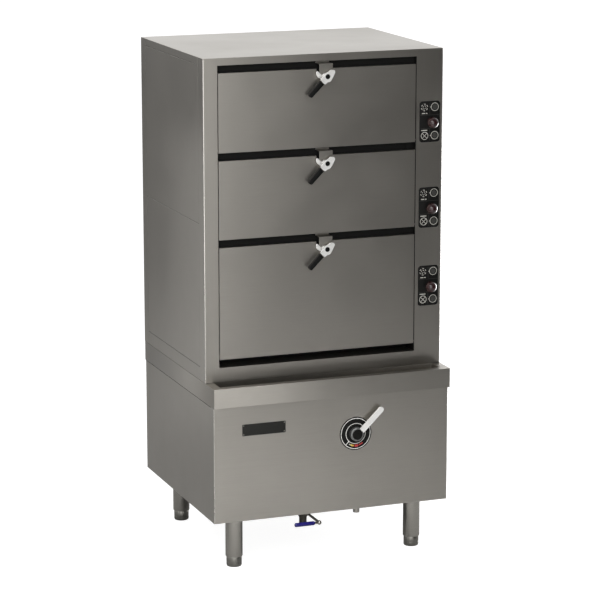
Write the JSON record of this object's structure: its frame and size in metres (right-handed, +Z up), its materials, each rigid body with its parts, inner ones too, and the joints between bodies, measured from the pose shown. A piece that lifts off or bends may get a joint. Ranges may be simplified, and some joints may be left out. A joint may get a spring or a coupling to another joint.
{
  "type": "steamer cabinet",
  "caption": "Tall gas steamer cabinet with drop-down chamber doors, turning latches, pull-out damper knobs, drip gutter, burner base, drain handle and adjustable feet.",
  "frame": {"origin": "on the floor under the centre of the bounding box at rest", "axes": "+X to the right seen from the front, +Y from the front to the back, +Z up"},
  "size_m": [0.9, 0.811, 1.826],
  "materials": {
    "brushed_steel": "satin",
    "liner_steel": "satin",
    "frame_steel": "satin",
    "bright_metal": "polished",
    "foot_metal": "satin",
    "black_steel": "matte",
    "black_plastic": "matte",
    "plate_ink": "printed sheet, satin",
    "ball_resin": "glossy",
    "blue_plastic": "glossy",
    "rubber": "matte",
    "cast_iron": "rough",
    "brass": "satin"
  },
  "bodies": {
    "root": {"leg_stand": "frame_steel", "base_front_panel": "brushed_steel", "base_skirt": "brushed_steel", "gutter_deck": "brushed_steel", "carcass_frame": "frame_steel", "face_frame": "brushed_steel", "back_panel": "brushed_steel", "top_cover": "brushed_steel", "seal_carrier": "black_steel", "side_panel_left_lower": "brushed_steel", "side_panel_left_upper": "brushed_steel", "side_panel_right_lower": "brushed_steel", "side_panel_right_upper": "brushed_steel", "water_tank": "liner_steel", "steam_riser": "liner_steel", "burner": "cast_iron", "gas_valve": "brass", "drain_valve": "brass", "dial_plate": "plate_ink", "chamber_liner_1": "liner_steel", "chamber_liner_2": "liner_steel", "chamber_liner_3": "liner_steel", "wire_rack_1": "liner_steel", "wire_rack_2": "liner_steel", "wire_rack_3": "liner_steel", "door_seal_1": "rubber", "door_seal_2": "rubber", "door_seal_3": "rubber", "keeper_1": "brushed_steel", "keeper_2": "brushed_steel", "keeper_3": "brushed_steel", "control_plate_1": "plate_ink", "control_plate_2": "plate_ink", "control_plate_3": "plate_ink"},
    "door_1": {"door_outer_1": "brushed_steel", "door_inner_1": "liner_steel"},
    "door_2": {"door_outer_2": "brushed_steel", "door_inner_2": "liner_steel"},
    "door_3": {"door_outer_3": "brushed_steel", "door_inner_3": "liner_steel"},
    "latch_1": {"latch_head_1": "bright_metal", "latch_grip_1": "black_plastic"},
    "latch_2": {"latch_head_2": "bright_metal", "latch_grip_2": "black_plastic"},
    "latch_3": {"latch_head_3": "bright_metal", "latch_grip_3": "black_plastic"},
    "knob_1": {"knob_ball_1": "ball_resin", "damper_rod_1": "bright_metal"},
    "knob_2": {"knob_ball_2": "ball_resin", "damper_rod_2": "bright_metal"},
    "knob_3": {"knob_ball_3": "ball_resin", "damper_rod_3": "bright_metal"},
    "gas_lever": {"gas_lever": "bright_metal", "gas_lever_cap": "black_plastic"},
    "drain_handle": {"drain_rod": "bright_metal", "drain_grip": "blue_plastic"},
    "foot_fl": {"foot_front_left": "foot_metal"},
    "foot_fr": {"foot_front_right": "foot_metal"},
    "foot_bl": {"foot_back_left": "foot_metal"},
    "foot_br": {"foot_back_right": "foot_metal"}
  },
  "joints": [
    {"name": "door_1_hinge", "type": "hinge", "parent": "root", "child": "door_1", "pos_m": [0, -0.291, 1.5025], "axis": [1, 0, 0], "range_deg": [0, 90]},
    {"name": "door_2_hinge", "type": "hinge", "parent": "root", "child": "door_2", "pos_m": [0, -0.291, 1.1965], "axis": [1, 0, 0], "range_deg": [0, 90]},
    {"name": "door_3_hinge", "type": "hinge", "parent": "root", "child": "door_3", "pos_m": [0, -0.291, 0.7685], "axis": [1, 0, 0], "range_deg": [0, 90]},
    {"name": "latch_1_turn", "type": "hinge", "parent": "door_1", "child": "latch_1", "pos_m": [-0.0026, -0.3165, 1.7485], "axis": [0, 1, 0], "range_deg": [0, 70]},
    {"name": "latch_2_turn", "type": "hinge", "parent": "door_2", "child": "latch_2", "pos_m": [-0.0026, -0.3165, 1.4425], "axis": [0, 1, 0], "range_deg": [0, 70]},
    {"name": "latch_3_turn", "type": "hinge", "parent": "door_3", "child": "latch_3", "pos_m": [-0.0026, -0.3165, 1.1365], "axis": [0, 1, 0], "range_deg": [0, 70]},
    {"name": "knob_1_pull", "type": "slide", "parent": "root", "child": "knob_1", "axis": [0, -1, 0], "range_m": [0, 0.028]},
    {"name": "knob_2_pull", "type": "slide", "parent": "root", "child": "knob_2", "axis": [0, -1, 0], "range_m": [0, 0.028]},
    {"name": "knob_3_pull", "type": "slide", "parent": "root", "child": "knob_3", "axis": [0, -1, 0], "range_m": [0, 0.028]},
    {"name": "gas_lever_turn", "type": "hinge", "parent": "root", "child": "gas_lever", "pos_m": [0.0885, -0.4, 0.4685], "axis": [0, -1, 0], "range_deg": [0, 90]},
    {"name": "drain_handle_turn", "type": "hinge", "parent": "root", "child": "drain_handle", "pos_m": [-0.046, -0.3, 0.148], "axis": [0, -1, 0], "range_deg": [0, 90]},
    {"name": "foot_fl_screw", "type": "slide", "parent": "root", "child": "foot_fl", "axis": [0, 0, -1], "range_m": [0, 0.025]},
    {"name": "foot_fr_screw", "type": "slide", "parent": "root", "child": "foot_fr", "axis": [0, 0, -1], "range_m": [0, 0.025]},
    {"name": "foot_bl_screw", "type": "slide", "parent": "root", "child": "foot_bl", "axis": [0, 0, -1], "range_m": [0, 0.025]},
    {"name": "foot_br_screw", "type": "slide", "parent": "root", "child": "foot_br", "axis": [0, 0, -1], "range_m": [0, 0.025]}
  ]
}
